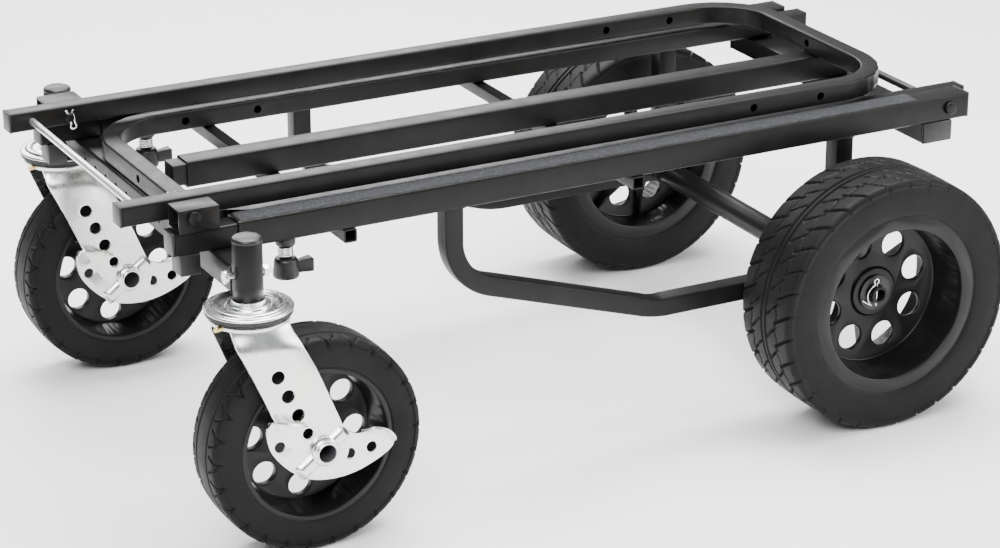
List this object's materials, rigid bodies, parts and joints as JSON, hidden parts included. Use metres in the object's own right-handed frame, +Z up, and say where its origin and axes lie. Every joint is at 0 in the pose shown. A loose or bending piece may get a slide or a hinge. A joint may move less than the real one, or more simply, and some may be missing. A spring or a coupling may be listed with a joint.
{
  "type": "hand truck",
  "caption": "Low convertible equipment cart: telescoping square-tube frame, folded handles, swivel front casters with rocker brakes and large fixed rear wheels.",
  "frame": {"origin": "centre of the footprint on the floor, under the middle of the overall length", "axes": "+X runs to the rear wheels, -X to the casters, +Y is the right hand side when looking from the rear towards the casters turned round, +Z is up"},
  "size_m": [0.8934, 0.556, 0.3131],
  "materials": {
    "powder_coat": "satin black powder coat with a fine orange peel",
    "zinc_steel": "bright zinc plate, slightly blurred reflections",
    "bright_rod": "pale bright rod",
    "rim_plastic": "moulded black nylon with a soft sheen",
    "tyre_rubber": "black rubber, smooth side wall and cut tread",
    "black_plastic": "black moulded plastic",
    "grip_tape": "gritty blue-black non-slip tape",
    "bush_plastic": "dark grey bearing plastic",
    "brass_fitting": "plain brass",
    "seal_rubber": "black rubber ring"
  },
  "bodies": {
    "rear_frame": {"left_outer_rail": "powder_coat", "right_outer_rail": "powder_coat", "center_outer_tube": "powder_coat", "front_cross_tube": "powder_coat", "middle_cross_tube": "powder_coat", "rear_cross_tube": "powder_coat", "left_brace_tube": "powder_coat", "right_brace_tube": "powder_coat", "rear_posts": "powder_coat", "rear_axle": "powder_coat", "grip_tapes": "grip_tape", "rail_end_plugs": "black_plastic", "axle_washers": "black_plastic", "axle_clips": "zinc_steel", "lock_collars": "black_plastic", "lock_springs": "zinc_steel", "rear_pivot_rod": "powder_coat", "center_tube_insert": "black_plastic"},
    "front_frame": {"left_inner_rail": "powder_coat", "right_inner_rail": "powder_coat", "caster_cross_tube": "powder_coat", "caster_sockets": "powder_coat", "socket_caps": "black_plastic", "handle_brackets": "powder_coat", "nose_blocks": "black_plastic", "inner_rail_caps": "black_plastic", "handle_pivot_pins": "powder_coat", "pivot_pin_clips": "zinc_steel", "left_caster_stem": "zinc_steel", "right_caster_stem": "zinc_steel", "stem_lock_pins": "zinc_steel"},
    "front_handle": {"front_handle_tube": "powder_coat", "front_handle_rod": "bright_rod", "front_handle_caps": "black_plastic"},
    "rear_handle": {"rear_handle_tube": "powder_coat", "rear_handle_caps": "black_plastic"},
    "left_caster": {"left_caster_fork": "zinc_steel", "left_swivel_seal": "seal_rubber", "left_grease_fitting": "brass_fitting", "left_caster_axle": "zinc_steel"},
    "left_caster_wheel": {"left_caster_rim": "rim_plastic", "left_caster_tyre": "tyre_rubber", "left_caster_bush": "bush_plastic"},
    "left_brake": {"left_brake_rocker": "zinc_steel"},
    "left_rear_wheel": {"left_rear_rim": "rim_plastic", "left_rear_tyre": "tyre_rubber", "left_rear_bush": "bush_plastic"},
    "left_knob": {"left_lock_knob": "black_plastic"},
    "right_caster": {"right_caster_fork": "zinc_steel", "right_swivel_seal": "seal_rubber", "right_grease_fitting": "brass_fitting", "right_caster_axle": "zinc_steel"},
    "right_caster_wheel": {"right_caster_rim": "rim_plastic", "right_caster_tyre": "tyre_rubber", "right_caster_bush": "bush_plastic"},
    "right_brake": {"right_brake_rocker": "zinc_steel"},
    "right_rear_wheel": {"right_rear_rim": "rim_plastic", "right_rear_tyre": "tyre_rubber", "right_rear_bush": "bush_plastic"},
    "right_knob": {"right_lock_knob": "black_plastic"}
  },
  "joints": [
    {"name": "frame_extend", "type": "slide", "parent": "rear_frame", "child": "front_frame", "axis": [-1, 0, 0], "range_m": [0, 0.457]},
    {"name": "front_handle_fold", "type": "hinge", "parent": "front_frame", "child": "front_handle", "pos_m": [-0.38925, 0, 0.30355], "axis": [0, -1, 0], "range_deg": [0, 90]},
    {"name": "rear_handle_fold", "type": "hinge", "parent": "rear_frame", "child": "rear_handle", "pos_m": [0.40975, 0, 0.27925], "axis": [0, 1, 0], "range_deg": [0, 0.3]},
    {"name": "left_caster_swivel", "type": "hinge", "parent": "front_frame", "child": "left_caster", "pos_m": [-0.36325, -0.233, 0.2386], "axis": [0, 0, 1], "continuous": true},
    {"name": "left_caster_spin", "type": "hinge", "parent": "left_caster", "child": "left_caster_wheel", "pos_m": [-0.31125, -0.233, 0.1016], "axis": [0, 1, 0], "continuous": true},
    {"name": "left_brake_rock", "type": "hinge", "parent": "left_caster", "child": "left_brake", "pos_m": [-0.31125, -0.233, 0.1016], "axis": [0, 1, 0], "range_deg": [-6, 6]},
    {"name": "left_rear_wheel_spin", "type": "hinge", "parent": "rear_frame", "child": "left_rear_wheel", "pos_m": [0.28975, -0.2365, 0.127], "axis": [0, 1, 0], "continuous": true},
    {"name": "left_lock_turn", "type": "hinge", "parent": "rear_frame", "child": "left_knob", "pos_m": [-0.29825, -0.1668, 0.2466], "axis": [0, 0, 1], "range_deg": [0, 180]},
    {"name": "right_caster_swivel", "type": "hinge", "parent": "front_frame", "child": "right_caster", "pos_m": [-0.36325, 0.233, 0.2386], "axis": [0, 0, 1], "continuous": true},
    {"name": "right_caster_spin", "type": "hinge", "parent": "right_caster", "child": "right_caster_wheel", "pos_m": [-0.31125, 0.233, 0.1016], "axis": [0, 1, 0], "continuous": true},
    {"name": "right_brake_rock", "type": "hinge", "parent": "right_caster", "child": "right_brake", "pos_m": [-0.31125, 0.233, 0.1016], "axis": [0, 1, 0], "range_deg": [-6, 6]},
    {"name": "right_rear_wheel_spin", "type": "hinge", "parent": "rear_frame", "child": "right_rear_wheel", "pos_m": [0.28975, 0.2365, 0.127], "axis": [0, 1, 0], "continuous": true},
    {"name": "right_lock_turn", "type": "hinge", "parent": "rear_frame", "child": "right_knob", "pos_m": [-0.29825, 0.1668, 0.2466], "axis": [0, 0, 1], "range_deg": [0, 180]}
  ]
}
